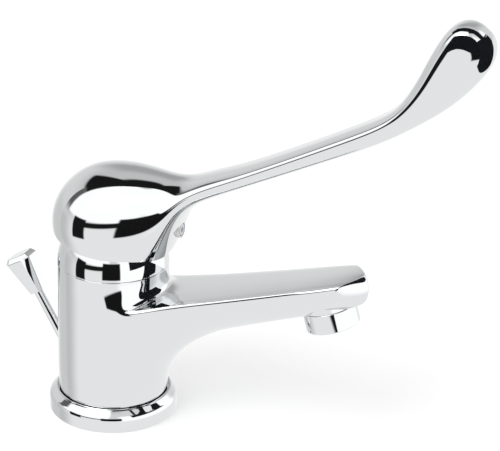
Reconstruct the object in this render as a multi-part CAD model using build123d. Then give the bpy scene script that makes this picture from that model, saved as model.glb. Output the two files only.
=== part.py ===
# Elbow lever basin tap: single lever mixer with a long clinic lever, a pop-up waste rod
# and a ceramic disc cartridge. Millimetres, +Z up, +X along the spout, the origin on the
# deck in the middle of the base.
from build123d import *
from math import cos, hypot, pi, radians, sin, sqrt
import os

# Driving sizes, piece by piece

overrun = 2.0
seat_clearance = 0.15
running_clearance = 0.3
pivot_fit = 0.05
edge_break = 0.4

# base ring and its gasket
ring_overhang = 3.8
ring_edge_height = 6.8
ring_lip_height = 9.7
ring_floor_height = 4.5
ring_edge_round = 0.8
ring_floor_width = 4.2
ring_lip_clearance = 0.05
gasket_margin = 1.5
gasket_width = 4.5
gasket_thickness = 2.0

# body
body_wall = 4.2
body_foot_taper = 0.4
body_foot_height = 20.0
body_top_height = 69.5
body_spigot_lift = 0.8
well_radius = 16.5
well_height = 12.0
root_fillet = 6.0

# sockets under the body
inlet_offset_x = 3.0
inlet_offset_y = 9.2
inlet_socket_radius = 4.5
inlet_socket_depth = 14.0
port_offset_y = 7.4
port_radius = 2.4
stud_offset_x = 11.5
stud_socket_radius = 3.4
stud_socket_depth = 15.0

# spout and its waterway
spout_reach = 114.7
spout_nose_rise = 7.0
waterway_radius = 3.8
waterway_low_height = 36.2
waterway_knee_x = 34.0
waterway_knee_height = 46.0
outlet_offset_x = -6.5

# aerator, on its own tilted axis
aerator_tilt = 16.0
aerator_setback = 16.5
aerator_drop = 12.3
collar_radius = 11.5
collar_drop = 6.1
collar_wall = 1.8
collar_lip = 1.1
thread_radius = 10.8
thread_height = 7.0
chamber_height = 9.4
screen_thickness = 0.6
washer_width = 2.6
washer_thickness = 1.6
insert_rib_count = 6
insert_hub_radius = 2.2
insert_rib_width = 0.9
screen_pitch = 2.1
screen_wire = 0.5

# cartridge
cartridge_radius = 17.5
chamber_depth = 27.5
cartridge_base_thickness = 4.0
port_seal_thickness = 1.2
port_seal_width = 1.2
fixed_disc_thickness = 4.0
moving_disc_thickness = 3.5
moving_disc_radius = 10.8
mixing_pocket_radius = 6.3
mixing_pocket_offset = 3.4
mixing_pocket_depth = 1.8
outlet_port_radius = 3.0
locating_pin_radius = 2.0
locating_pin_height = 3.0
locating_pin_offset = 14.0
housing_wall = 2.3
housing_roof_thickness = 3.6
shoulder_drop = 3.5
neck_radius = 13.5
neck_rise = 5.5
carrier_thickness = 5.0
carrier_radius = 10.5
carrier_floor_thickness = 0.8
guide_neck_radius = 11.0
guide_flange_thickness = 3.0
guide_o_ring_radius = 0.9

# stem
pivot_drop = 1.1
pivot_pin_radius = 1.5
stem_width = 8.0
stem_depth = 7.0
stem_engagement = 13.5
stem_shoulder_drop = 6.9
stem_ball_radius = 2.2
stem_neck_radius = 1.6
stem_ball_drop = 11.4
stem_swing_x = 8.5

# retaining nut
nut_wall = 2.5
nut_rise = 5.0
nut_engagement = 10.5
nut_thread_clearance = 0.1
nut_slot_count = 6
nut_slot_width = 4.0
nut_slot_depth = 3.0
nut_ring_radius = 0.9

# cover ring
cover_wall = 1.8
cover_opening_angle = 47.0

# lever head, arm and paddle
head_overhang = 2.1
head_rise = 19.1
head_wall = 3.3
head_cavity_drop = 1.5
head_roof_thickness = 3.5
cover_gap = 0.5
boss_radius = 7.8
boss_drop = 5.5
socket_end_clearance = 1.0
lever_reach = 159.6
lever_rise = 108.6
lever_squareness = 2.7

# indicator plug and grub screw
indicator_rise = 7.0
indicator_radius = 3.6
indicator_stand_off = 5.3
indicator_length = 3.2
mark_depth = 0.5
mark_gap = 0.5
grub_radius = 2.5
grub_length = 6.0
grub_hex_radius = 1.3
grub_hex_depth = 2.5
access_radius = 2.9

# lift rod and knob
rod_lean = 29.5
rod_entry_height = 26.8
rod_radius = 2.1
rod_end_height = 16.5
rod_hole_clearance = 0.5
bush_wall = 0.9
bush_recess = 3.0
bush_length = 8.0
knob_stand_off = 24.0
knob_height = 18.4
knob_foot_width = 6.8
knob_head_width = 12.8
knob_corner_share = 0.22
knob_bevel = 2.0
knob_socket_depth = 8.0

# Outlines, as shares of the sizes named beside them

# x and z of the top, x and z of the bottom and half the width, over head_radius from the head's centre
head_section_shares = [
    (-0.96, 0.28, -0.96, -0.28, 0.28),
    (-0.86, 0.51, -0.86, -0.51, 0.51),
    (-0.66, 0.75, -0.66, -0.75, 0.75),
    (-0.36, 0.94, -0.36, -0.93, 0.93),
    (0.00, 1.01, 0.00, -1.00, 0.99),
    (0.34, 1.025, 0.34, -0.95, 0.955),
    (0.68, 0.995, 0.68, -0.80, 0.85),
    (0.95, 0.965, 0.95, -0.55, 0.71),
    (1.16, 0.965, 1.14, -0.15, 0.61),
    (1.37, 0.99, 1.35, 0.43, 0.51),
]
# the same along the arm and paddle: x over lever_reach, z over lever_rise above the head's centre,
# half the width over head_radius
arm_section_shares = [
    (0.269, 0.265, 0.275, 0.166, 0.433),
    (0.326, 0.297, 0.336, 0.218, 0.388),
    (0.401, 0.346, 0.417, 0.277, 0.361),
    (0.527, 0.440, 0.548, 0.372, 0.346),
    (0.649, 0.537, 0.675, 0.463, 0.346),
    (0.715, 0.591, 0.742, 0.517, 0.354),
    (0.758, 0.638, 0.788, 0.559, 0.361),
    (0.787, 0.692, 0.833, 0.604, 0.369),
    (0.816, 0.773, 0.887, 0.664, 0.380),
    (0.836, 0.845, 0.929, 0.722, 0.380),
    (0.859, 0.918, 0.965, 0.784, 0.373),
    (0.888, 0.986, 0.998, 0.855, 0.365),
    (0.905, 1.000, 1.000, 0.885, 0.346),
    (0.923, 1.004, 0.999, 0.913, 0.304),
    (0.941, 0.999, 0.995, 0.939, 0.236),
    (0.959, 0.992, 0.985, 0.961, 0.125),
]
arm_tip_shares = (0.973, 0.978)
# the head's lower edge seen from the side, over head_radius from the head's centre
rim_shares = [
    (-1.52, 0.02),
    (-0.61, -0.18),
    (-0.19, -0.26),
    (0.19, -0.295),
    (0.57, -0.30),
    (0.80, -0.315),
    (0.99, -0.375),
    (1.52, -0.44),
]
# spout sections: x over spout_reach, top and bottom z over spout_nose_height, half the width
# over body_radius
spout_section_shares = [
    (0.052, 0.712, 0.601, 0.901),
    (0.087, 0.727, 0.523, 0.876),
    (0.122, 0.741, 0.418, 0.843),
    (0.156, 0.756, 0.320, 0.810),
    (0.191, 0.770, 0.235, 0.777),
    (0.210, 0.776, 0.190, 0.760),
    (0.230, 0.784, 0.281, 0.744),
    (0.260, 0.796, 0.374, 0.723),
    (0.295, 0.809, 0.447, 0.707),
    (0.347, 0.830, 0.525, 0.686),
    (0.408, 0.855, 0.586, 0.669),
    (0.477, 0.884, 0.637, 0.649),
    (0.608, 0.940, 0.718, 0.612),
    (0.738, 0.996, 0.795, 0.570),
    (0.851, 1.047, 0.860, 0.529),
    (0.920, 1.076, 0.897, 0.475),
    (0.964, 1.082, 0.920, 0.370),
    (0.986, 1.068, 0.939, 0.252),
    (0.9965, 1.043, 0.959, 0.134),
]
# half of a spout section from the crown to the keel: share of the half width, share of the height
spout_outline_shares = [
    (0.00, 1.000),
    (0.45, 0.995),
    (0.80, 0.985),
    (0.93, 0.965),
    (0.985, 0.92),
    (1.00, 0.83),
    (0.985, 0.66),
    (0.93, 0.45),
    (0.80, 0.22),
    (0.56, 0.06),
    (0.28, 0.01),
    (0.00, 0.000),
]
quarter_section_count = 5

# Sizes worked out from the driving ones

nut_thread_radius = cartridge_radius + nut_wall
body_radius = nut_thread_radius + body_wall
body_foot_radius = body_radius - body_foot_taper
ring_radius = body_radius + ring_overhang
ring_lip_radius = body_radius + ring_lip_clearance
ring_bore_radius = body_radius - ring_floor_width
gasket_inner_radius = ring_bore_radius + gasket_margin
spout_nose_height = body_top_height + spout_nose_rise
aerator_x = spout_reach - aerator_setback
aerator_height = spout_nose_height - aerator_drop
chamber_floor_height = body_top_height - chamber_depth
shoulder_height = body_top_height - shoulder_drop
neck_height = body_top_height + neck_rise
nut_bottom_height = body_top_height - nut_engagement
nut_top_height = body_top_height + nut_rise
cover_radius = body_radius
pivot_height = body_top_height - pivot_drop
stem_shoulder_height = pivot_height - stem_shoulder_drop
head_radius = cover_radius + head_overhang
head_centre_height = pivot_height + head_rise
head_cavity_radius = head_radius - head_wall
head_cavity_centre_height = head_centre_height - head_cavity_drop
head_cavity_rise = head_radius + head_cavity_drop - head_roof_thickness
boss_bottom_height = head_centre_height - boss_drop
stem_top_height = boss_bottom_height + stem_engagement
indicator_height = boss_bottom_height + indicator_rise
indicator_face_x = head_radius + indicator_stand_off
chamber_radius = cartridge_radius + seat_clearance
base_top_height = chamber_floor_height + cartridge_base_thickness
fixed_disc_top = base_top_height + fixed_disc_thickness
moving_disc_top = fixed_disc_top + moving_disc_thickness
carrier_top = moving_disc_top + carrier_thickness
housing_bore_radius = cartridge_radius - housing_wall
roof_height = shoulder_height - housing_roof_thickness
guide_flange_top = roof_height - running_clearance
guide_flange_bottom = guide_flange_top - guide_flange_thickness
ball_height = pivot_height - stem_ball_drop
aerator_plane = Plane(
    origin=(aerator_x, 0, aerator_height),
    x_dir=(cos(radians(aerator_tilt)), 0, sin(radians(aerator_tilt))),
    z_dir=(-sin(radians(aerator_tilt)), 0, cos(radians(aerator_tilt))),
)
rod_direction = (-sin(radians(rod_lean)), 0, cos(radians(rod_lean)))
rod_plane = Plane(
    origin=(-body_radius, 0, rod_entry_height),
    x_dir=(cos(radians(rod_lean)), 0, sin(radians(rod_lean))),
    z_dir=rod_direction,
)


# Building blocks


def cylinder(radius, bottom, top, x=0, y=0):
    """Upright cylinder between two heights."""
    solid = Cylinder(radius, top - bottom, align=(Align.CENTER, Align.CENTER, Align.MIN))
    return Pos(x, y, bottom) * solid


def tube(outer, inner, bottom, top):
    """Upright tube between two heights."""
    return cylinder(outer, bottom, top) - cylinder(inner, bottom - overrun, top + overrun)


def block(x_size, y_size, bottom, top, x=0, y=0):
    """Upright block between two heights, centred on x and y."""
    solid = Box(x_size, y_size, top - bottom, align=(Align.CENTER, Align.CENTER, Align.MIN))
    return Pos(x, y, bottom) * solid


def turned(points):
    """Solid of revolution about Z from an outline of radius and height points."""
    outline = Plane.XZ * make_face(Polyline(*points, close=True))
    return revolve(outline, axis=Axis.Z)


def power_curve(value, squareness):
    """Signed root that squares off a circle into a softer rectangle."""
    sign = (value > 0) - (value < 0)
    return sign * abs(value) ** (2 / squareness)


def lever_section(top, bottom, half_width, squareness):
    """Closed section across the lever: four quarter curves from its top point round and back."""
    middle = ((top[0] + bottom[0]) / 2, (top[1] + bottom[1]) / 2)
    rise = ((top[0] - bottom[0]) / 2, (top[1] - bottom[1]) / 2)
    quarters = []
    for turn in range(4):
        points = []
        for index in range(quarter_section_count + 1):
            angle = pi / 2 * (turn + index / quarter_section_count)
            across = power_curve(round(sin(angle), 9), squareness)
            upward = power_curve(round(cos(angle), 9), squareness)
            x = middle[0] + rise[0] * upward
            z = middle[1] + rise[1] * upward
            points.append((x, half_width * across, z))
        headings = []
        for angle in (pi / 2 * turn, pi / 2 * (turn + 1)):
            headings.append((-rise[0] * sin(angle), half_width * cos(angle), -rise[1] * sin(angle)))
        quarters.append(Edge.make_spline(points, tangents=headings))
    return Wire(quarters)


def spout_section(x, top, bottom, half_width):
    """Closed section across the spout in the plane at x."""
    height = top - bottom
    near = [(x, -half_width * a, bottom + height * b) for a, b in reversed(spout_outline_shares)]
    far = [(x, half_width * a, bottom + height * b) for a, b in spout_outline_shares[1:-1]]
    return Wire([Edge.make_spline(near + far, periodic=True)])


def slanted(plane, solid):
    """Put a solid modelled on the XY plane onto a tilted plane."""
    return plane.location * solid


# Base ring and gasket


def make_base_ring():
    profile = [
        (ring_bore_radius, 0),
        (ring_radius, 0),
        (ring_radius, ring_edge_height),
        (ring_radius - ring_edge_round, ring_edge_height + ring_edge_round / 2),
        (ring_lip_radius + ring_edge_round, ring_lip_height),
        (ring_lip_radius, ring_lip_height),
        (ring_lip_radius, ring_floor_height),
        (ring_bore_radius, ring_floor_height),
    ]
    ring = turned(profile)
    groove_outer = gasket_inner_radius + gasket_width + seat_clearance
    groove_inner = gasket_inner_radius - seat_clearance
    groove = tube(groove_outer, groove_inner, -overrun, gasket_thickness)
    ring = ring - groove
    outer_edges = ring.edges().filter_by(GeomType.CIRCLE).filter_by(
        lambda e: abs(e.radius - ring_radius) < edge_break and e.center().Z > edge_break
    )
    return ring.fillet(ring_edge_round / 2, outer_edges)


def make_base_gasket():
    return tube(gasket_inner_radius + gasket_width, gasket_inner_radius, 0, gasket_thickness)


# Body with its spout


def make_spout_blank():
    sections = []
    for x, top, bottom, half_width in spout_section_shares:
        sections.append(
            spout_section(
                x * spout_reach,
                top * spout_nose_height,
                bottom * spout_nose_height,
                half_width * body_radius,
            )
        )
    nose = Vertex(spout_reach, 0, spout_nose_height)
    return Solid.make_loft(sections + [nose])


def make_body_blank():
    with BuildPart() as blank:
        with BuildSketch(Plane.XZ):
            with BuildLine():
                Line((0, ring_floor_height), (body_foot_radius, ring_floor_height))
                foot_end = (body_foot_radius, ring_floor_height + edge_break)
                Line((body_foot_radius, ring_floor_height), foot_end)
                TangentArc((body_radius, body_foot_height), foot_end, tangent=(0, -1))
                Line((body_radius, body_foot_height), (body_radius, body_top_height))
                Line((body_radius, body_top_height), (0, body_top_height))
                Line((0, body_top_height), (0, ring_floor_height))
            make_face()
        revolve(axis=Axis.Z)
    return blank.part.rotate(Axis.Z, 180)


def make_waterway():
    start = Vector(outlet_offset_x, 0, waterway_low_height)
    turn = Vector(chamber_radius, 0, waterway_low_height)
    knee = Vector(waterway_knee_x, 0, waterway_knee_height)
    end = aerator_plane.from_local_coords(Vector(0, 0, chamber_height - waterway_radius / 2))
    drill = Pos(start.X, 0, start.Z) * Sphere(waterway_radius)
    for first, last in ((start, turn), (turn, knee), (knee, end)):
        run = last - first
        leg = Cylinder(waterway_radius, run.length, align=(Align.CENTER, Align.CENTER, Align.MIN))
        drill = drill + Plane(origin=first, z_dir=run).location * leg
        drill = drill + Pos(last.X, 0, last.Z) * Sphere(waterway_radius)
    return drill


def on_body_wall(edge):
    """True for an edge that lies on the body's round wall, clear of its ends."""
    for share in (0, 0.25, 0.5, 0.75, 1):
        point = edge @ share
        if abs(hypot(point.X, point.Y) - body_radius) > edge_break:
            return False
        if not ring_floor_height + edge_break < point.Z < body_top_height - edge_break:
            return False
    return True


def make_body_spout():
    body = make_body_blank() + make_spout_blank()
    root_edges = [edge for edge in body.edges() if on_body_wall(edge) and edge.length > body_radius]
    body = body.fillet(root_fillet, root_edges)
    body = body + cylinder(ring_bore_radius - seat_clearance, body_spigot_lift, ring_floor_height)
    body = body - cylinder(well_radius, -overrun, well_height)
    body = body - cylinder(chamber_radius, chamber_floor_height, body_top_height + overrun)
    body = body - cylinder(nut_thread_radius, nut_bottom_height, body_top_height + overrun)
    for side in (-1, 1):
        body = body - cylinder(
            inlet_socket_radius,
            well_height - overrun,
            well_height + inlet_socket_depth,
            inlet_offset_x,
            side * inlet_offset_y,
        )
        body = body - cylinder(
            port_radius,
            well_height,
            chamber_floor_height + overrun,
            inlet_offset_x,
            side * port_offset_y,
        )
        body = body - cylinder(
            locating_pin_radius + seat_clearance,
            chamber_floor_height - locating_pin_height - seat_clearance,
            chamber_floor_height + overrun,
            0,
            side * locating_pin_offset,
        )
    body = body - cylinder(
        stud_socket_radius, well_height - overrun, well_height + stud_socket_depth, stud_offset_x
    )
    body = body - cylinder(
        outlet_port_radius, waterway_low_height, chamber_floor_height + overrun, outlet_offset_x
    )
    body = body - make_waterway()
    chamber = cylinder(thread_radius + seat_clearance, -collar_drop, chamber_height)
    body = body - slanted(aerator_plane, chamber)
    shaft = cylinder(rod_radius + rod_hole_clearance, -body_radius - overrun, body_radius)
    body = body - slanted(rod_plane, shaft)
    bush_radius = rod_radius + pivot_fit + bush_wall
    bush_seat = cylinder(bush_radius + seat_clearance, -bush_recess - bush_length, body_radius)
    return body - slanted(rod_plane, bush_seat)


# Aerator


def make_aerator_collar():
    bore = collar_radius - collar_wall
    profile = [
        (bore - collar_lip, -collar_drop),
        (collar_radius - edge_break, -collar_drop),
        (collar_radius, edge_break - collar_drop),
        (collar_radius, 0),
        (thread_radius, 0),
        (thread_radius, thread_height),
        (bore, thread_height),
        (bore, collar_lip - collar_drop),
        (bore - collar_lip, collar_lip - collar_drop),
    ]
    return slanted(aerator_plane, turned(profile))


def make_aerator_insert():
    outer = collar_radius - collar_wall - seat_clearance
    bottom = collar_lip + screen_thickness - collar_drop
    wall = collar_lip
    cup = tube(outer, outer - wall, bottom, thread_height)
    floor = cylinder(outer - wall / 2, thread_height - 2 * wall, thread_height - wall)
    insert = cup + floor + cylinder(insert_hub_radius, bottom, thread_height - wall)
    for index in range(insert_rib_count):
        rib = block(
            outer - wall / 2,
            insert_rib_width,
            bottom,
            thread_height - wall,
            (outer - wall / 2) / 2,
        )
        insert = insert + Rot(0, 0, 360 * index / insert_rib_count) * rib
        hole = cylinder(
            insert_hub_radius / 2,
            bottom,
            thread_height,
            (outer + insert_hub_radius) / 2,
        )
        insert = insert - Rot(0, 0, 360 * (index + 1 / 2) / insert_rib_count) * hole
    return slanted(aerator_plane, insert)


def make_aerator_screen():
    outer = collar_radius - collar_wall - seat_clearance
    bottom = collar_lip - collar_drop
    top = bottom + screen_thickness
    net = tube(outer, outer - collar_lip, bottom, top)
    steps = int(outer / screen_pitch)
    for step in range(-steps, steps + 1):
        place = step * screen_pitch
        reach = 2 * sqrt(outer**2 - place**2) - collar_lip
        if reach > collar_lip:
            net = net + block(reach, screen_wire, bottom, top, 0, place)
            net = net + block(screen_wire, reach, bottom, top, place, 0)
    return slanted(aerator_plane, net)


def make_aerator_washer():
    outer = thread_radius - seat_clearance
    ring = tube(outer, outer - washer_width, thread_height, thread_height + washer_thickness)
    return slanted(aerator_plane, ring)


# Ceramic disc cartridge


def port_places():
    """The three ports: radius, x and y."""
    return (
        (port_radius, inlet_offset_x, port_offset_y),
        (port_radius, inlet_offset_x, -port_offset_y),
        (outlet_port_radius, outlet_offset_x, 0),
    )


def make_cartridge_seals():
    seals = []
    top = chamber_floor_height + port_seal_thickness
    for radius, x, y in port_places():
        ring = tube(radius + port_seal_width, radius, chamber_floor_height, top)
        seals.append(Pos(x, y, 0) * ring)
    return Compound(children=[seal.solid() for seal in seals])


def make_cartridge_base():
    disc = cylinder(cartridge_radius, chamber_floor_height, base_top_height)
    groove_top = chamber_floor_height + port_seal_thickness
    for radius, x, y in port_places():
        disc = disc - cylinder(radius, chamber_floor_height - overrun, base_top_height + overrun, x, y)
        disc = disc - cylinder(radius + port_seal_width, chamber_floor_height - overrun, groove_top, x, y)
    for side in (-1, 1):
        disc = disc + cylinder(
            locating_pin_radius,
            chamber_floor_height - locating_pin_height,
            chamber_floor_height,
            0,
            side * locating_pin_offset,
        )
    return disc


def make_fixed_disc():
    radius = housing_bore_radius - seat_clearance
    disc = cylinder(radius, base_top_height, fixed_disc_top)
    for port, x, y in port_places():
        disc = disc - cylinder(port, base_top_height - overrun, fixed_disc_top + overrun, x, y)
    for side in (-1, 1):
        notch = cylinder(
            locating_pin_radius, base_top_height - overrun, fixed_disc_top + overrun, 0, side * radius
        )
        disc = disc - notch
    return disc


def make_moving_disc():
    disc = cylinder(moving_disc_radius, fixed_disc_top, moving_disc_top)
    pocket = cylinder(
        mixing_pocket_radius,
        fixed_disc_top - overrun,
        fixed_disc_top + mixing_pocket_depth,
        -mixing_pocket_offset,
    )
    return disc - pocket


def make_disc_carrier():
    carrier = cylinder(carrier_radius, moving_disc_top, carrier_top)
    slot_width = 2 * (stem_ball_radius + running_clearance)
    floor = moving_disc_top + carrier_floor_thickness
    carrier = carrier - block(slot_width, stem_width, floor, carrier_top + overrun)
    return carrier


def make_cartridge_housing():
    neck_bore = guide_neck_radius + running_clearance
    shell = cylinder(cartridge_radius, base_top_height, shoulder_height)
    shell = shell + cylinder(neck_radius, shoulder_height, neck_height)
    shell = shell - cylinder(housing_bore_radius, base_top_height - overrun, roof_height)
    return shell - cylinder(neck_bore, roof_height - overrun, neck_height + overrun)


def make_stem_guide():
    top = neck_height - edge_break
    flange_radius = housing_bore_radius - running_clearance
    guide = cylinder(flange_radius, guide_flange_bottom, guide_flange_top)
    guide = guide + cylinder(guide_neck_radius, guide_flange_top, top)
    slot_half = stem_swing_x
    slot = block(
        2 * slot_half, stem_width + 2 * running_clearance, guide_flange_bottom - overrun, top + overrun
    )
    guide = guide - slot
    groove_middle = (pivot_height + pivot_pin_radius + top) / 2
    groove = tube(
        guide_neck_radius + overrun,
        guide_neck_radius - guide_o_ring_radius,
        groove_middle - guide_o_ring_radius,
        groove_middle + guide_o_ring_radius,
    )
    guide = guide - groove
    return guide - pin_blank(pivot_pin_radius, guide_neck_radius + overrun)


def make_guide_o_ring():
    top = neck_height - edge_break
    middle = (pivot_height + pivot_pin_radius + top) / 2
    ring_middle = guide_neck_radius - guide_o_ring_radius / 2 + running_clearance / 2
    wire = (guide_o_ring_radius - seat_clearance) / 2
    ring = Torus(ring_middle - running_clearance / 2, wire)
    return Pos(0, 0, middle) * ring


def pin_blank(radius, reach):
    """Cylinder along Y through the stem's pivot."""
    solid = Cylinder(radius, 2 * reach)
    return Pos(0, 0, pivot_height) * Rot(90, 0, 0) * solid


def make_pivot_pin():
    return pin_blank(pivot_pin_radius, guide_neck_radius - edge_break)


def make_lever_stem():
    stem = block(stem_depth, stem_width, stem_shoulder_height, stem_top_height)
    neck = cylinder(stem_neck_radius, ball_height, stem_shoulder_height + edge_break)
    ball = Pos(0, 0, ball_height) * Sphere(stem_ball_radius)
    stem = stem + neck + ball
    return stem - pin_blank(pivot_pin_radius + pivot_fit, stem_width)


# Nut and cover ring


def make_retaining_nut():
    outer = nut_thread_radius - nut_thread_clearance
    nut = tube(outer, neck_radius + running_clearance, shoulder_height, nut_top_height)
    skirt = tube(outer, cartridge_radius + seat_clearance, nut_bottom_height, shoulder_height)
    nut = nut + skirt
    for index in range(nut_slot_count):
        slot = block(
            nut_slot_depth * 2,
            nut_slot_width,
            nut_top_height - nut_slot_depth,
            nut_top_height + overrun,
            neck_radius,
        )
        nut = nut - Rot(0, 0, 360 * index / nut_slot_count) * slot
    groove_middle = cover_grip_height()
    groove = tube(
        outer + overrun,
        outer - nut_ring_radius,
        groove_middle - nut_ring_radius,
        groove_middle + nut_ring_radius,
    )
    return nut - groove


def cover_grip_height():
    """Height of the ring that grips the cover, half way up the nut's free rim."""
    return (body_top_height + nut_top_height) / 2


def make_cover_o_ring():
    outer = nut_thread_radius - nut_thread_clearance
    wire = (nut_ring_radius - seat_clearance) / 2 + seat_clearance / 2
    middle = outer - nut_ring_radius + seat_clearance / 2 + wire
    return Pos(0, 0, cover_grip_height()) * Torus(middle, wire)


def make_cover_ring():
    inner_radius = cover_radius - cover_wall
    bore = nut_thread_radius + running_clearance
    dome = Pos(0, 0, pivot_height) * Sphere(cover_radius)
    hollow = Pos(0, 0, pivot_height) * Sphere(inner_radius)
    opening = pivot_height + cover_radius * cos(radians(cover_opening_angle))
    shell = dome - hollow
    skirt_top = pivot_height + sqrt(inner_radius**2 - bore**2)
    skirt = tube(body_radius - overrun, bore, body_top_height, skirt_top)
    shell = shell + (skirt & dome)
    keep = cylinder(cover_radius + overrun, body_top_height, opening)
    shell = shell & keep
    lower_edges = shell.edges().filter_by(GeomType.CIRCLE).group_by(Axis.Z)[0]
    lip = lower_edges.sort_by(lambda edge: edge.radius)[-1]
    return shell.fillet(edge_break / 2, [lip])


# Lever handle and what is fixed in it


def head_place(shares):
    """Point beside the head's centre from its shares."""
    return (shares[0] * head_radius, head_centre_height + shares[1] * head_radius)


def arm_place(shares):
    """Point along the arm from its shares."""
    return (shares[0] * lever_reach, head_centre_height + shares[1] * lever_rise)


def make_lever_blank():
    sections = [Vertex(-head_radius, 0, head_centre_height)]
    for top_x, top_z, bottom_x, bottom_z, half_width in head_section_shares:
        top = head_place((top_x, top_z))
        bottom = head_place((bottom_x, bottom_z))
        sections.append(lever_section(top, bottom, half_width * head_radius, 2))
    for top_x, top_z, bottom_x, bottom_z, half_width in arm_section_shares:
        top = arm_place((top_x, top_z))
        bottom = arm_place((bottom_x, bottom_z))
        sections.append(lever_section(top, bottom, half_width * head_radius, lever_squareness))
    tip = arm_place(arm_tip_shares)
    sections.append(Vertex(tip[0], 0, tip[1]))
    return Solid.make_loft(sections)


def make_rim_cut():
    """Everything below the head's curved lower edge."""
    edge = [head_place(shares) for shares in rim_shares]
    with BuildPart() as cut:
        with BuildSketch(Plane.XZ):
            with BuildLine():
                Spline(*edge)
                Polyline(edge[-1], (edge[-1][0], 0), (edge[0][0], 0), edge[0])
            make_face()
        extrude(amount=head_radius + overrun, both=True)
    return cut.part


def make_head_cavity():
    top = head_cavity_centre_height + head_cavity_rise
    bottom = head_cavity_centre_height - head_cavity_rise
    with BuildPart() as cavity:
        with BuildSketch(Plane.XZ):
            with BuildLine():
                EllipticalCenterArc(
                    (0, head_cavity_centre_height),
                    head_cavity_radius,
                    head_cavity_rise,
                    start_angle=-90,
                    arc_size=180,
                )
                Line((0, bottom), (0, top))
            make_face()
        revolve(axis=Axis.Z)
    return cavity.part + Pos(0, 0, pivot_height) * Sphere(cover_radius + cover_gap)


def along_x(radius, start, end, height):
    """Cylinder along X between two places."""
    solid = Cylinder(radius, end - start, align=(Align.CENTER, Align.CENTER, Align.MIN))
    return Pos(start, 0, height) * Rot(0, 90, 0) * solid


def make_lever_handle():
    handle = make_lever_blank() - make_rim_cut() - make_head_cavity()
    ceiling = head_cavity_centre_height + head_cavity_rise + edge_break
    boss = cylinder(boss_radius, boss_bottom_height, ceiling)
    handle = handle + boss
    handle = handle - block(
        stem_depth + seat_clearance,
        stem_width + seat_clearance,
        boss_bottom_height - overrun,
        stem_top_height + socket_end_clearance,
    )
    handle = handle - along_x(grub_radius, 0, boss_radius + overrun, indicator_height)
    handle = handle - along_x(access_radius, boss_radius + overrun, spout_reach, indicator_height)
    plug_floor = indicator_face_x - indicator_length
    seat = along_x(indicator_radius + seat_clearance / 2, plug_floor, spout_reach, indicator_height)
    return handle - seat


def make_grub_screw():
    start = stem_depth / 2
    screw = along_x(grub_radius - seat_clearance, start, start + grub_length, indicator_height)
    socket = extrude(RegularPolygon(grub_hex_radius, 6), grub_hex_depth + overrun)
    place = Pos(start + grub_length - grub_hex_depth, 0, indicator_height) * Rot(0, 90, 0)
    return screw - place * socket


def make_indicator_plug():
    floor = indicator_face_x - indicator_length
    plug = along_x(indicator_radius, floor, indicator_face_x, indicator_height)
    for side in (-1, 1):
        plug = plug - index_mark_blank(side, overrun)
    return plug


def index_mark_blank(side, stand_out):
    """Half of a disc let into the plug's face, on one side of its middle."""
    outer = indicator_radius - mark_gap
    disc = along_x(outer, indicator_face_x - mark_depth, indicator_face_x + stand_out, indicator_height)
    split = Box(4 * overrun, indicator_radius, 2 * indicator_radius)
    offset = side * (indicator_radius + mark_gap) / 2
    return disc & (Pos(indicator_face_x, offset, indicator_height) * split)


def make_index_mark(side):
    return index_mark_blank(side, 0)


# Pop-up waste rod


def rod_along(height):
    """Distance along the rod's axis from its entry to a height."""
    return (height - rod_entry_height) / cos(radians(rod_lean))


def make_rod_bush():
    inner = rod_radius + pivot_fit
    sleeve = tube(inner + bush_wall, inner, -bush_recess - bush_length, -bush_recess)
    return slanted(rod_plane, sleeve)


def make_lift_rod():
    rod = cylinder(rod_radius, rod_along(rod_end_height), knob_stand_off + knob_socket_depth)
    return slanted(rod_plane, rod)


def knob_section(width, height):
    """Square with cut corners at a height on the rod's axis."""
    half = width / 2
    cut = width * knob_corner_share
    points = []
    for turn in range(4):
        angle = radians(90 * turn)
        for x, y in ((half, cut - half), (half, half - cut)):
            points.append((x * cos(angle) - y * sin(angle), x * sin(angle) + y * cos(angle)))
    return Pos(0, 0, height) * make_face(Polyline(*points, close=True))


def make_lift_knob():
    shoulder = knob_stand_off + knob_height - knob_bevel
    head = knob_stand_off + knob_height
    lower = loft([knob_section(knob_foot_width, knob_stand_off), knob_section(knob_head_width, shoulder)])
    cap_width = knob_head_width - 2 * knob_bevel
    upper = loft([knob_section(knob_head_width, shoulder), knob_section(cap_width, head)])
    knob = lower + upper
    socket_top = knob_stand_off + knob_socket_depth
    socket = cylinder(rod_radius + pivot_fit, knob_stand_off - overrun, socket_top)
    return slanted(rod_plane, knob - socket)


pieces = {
    "base_ring": make_base_ring,
    "base_gasket": make_base_gasket,
    "body_spout": make_body_spout,
    "aerator_collar": make_aerator_collar,
    "aerator_insert": make_aerator_insert,
    "aerator_screen": make_aerator_screen,
    "aerator_washer": make_aerator_washer,
    "cartridge_seals": make_cartridge_seals,
    "cartridge_base": make_cartridge_base,
    "ceramic_disc_fixed": make_fixed_disc,
    "ceramic_disc_moving": make_moving_disc,
    "disc_carrier": make_disc_carrier,
    "cartridge_housing": make_cartridge_housing,
    "stem_guide": make_stem_guide,
    "guide_o_ring": make_guide_o_ring,
    "pivot_pin": make_pivot_pin,
    "lever_stem": make_lever_stem,
    "retaining_nut": make_retaining_nut,
    "cover_o_ring": make_cover_o_ring,
    "cover_ring": make_cover_ring,
    "lever_handle": make_lever_handle,
    "grub_screw": make_grub_screw,
    "indicator_plug": make_indicator_plug,
    "hot_mark": lambda: make_index_mark(-1),
    "cold_mark": lambda: make_index_mark(1),
    "rod_guide_bush": make_rod_bush,
    "lift_rod": make_lift_rod,
    "lift_knob": make_lift_knob,
}

os.makedirs("parts", exist_ok=True)
for name, make in pieces.items():
    export_step(make(), f"parts/{name}.step")
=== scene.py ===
import bmesh
import bpy
from math import atan2, cos, exp, pi, radians, sin, sqrt
from mathutils import Matrix, Vector


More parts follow.
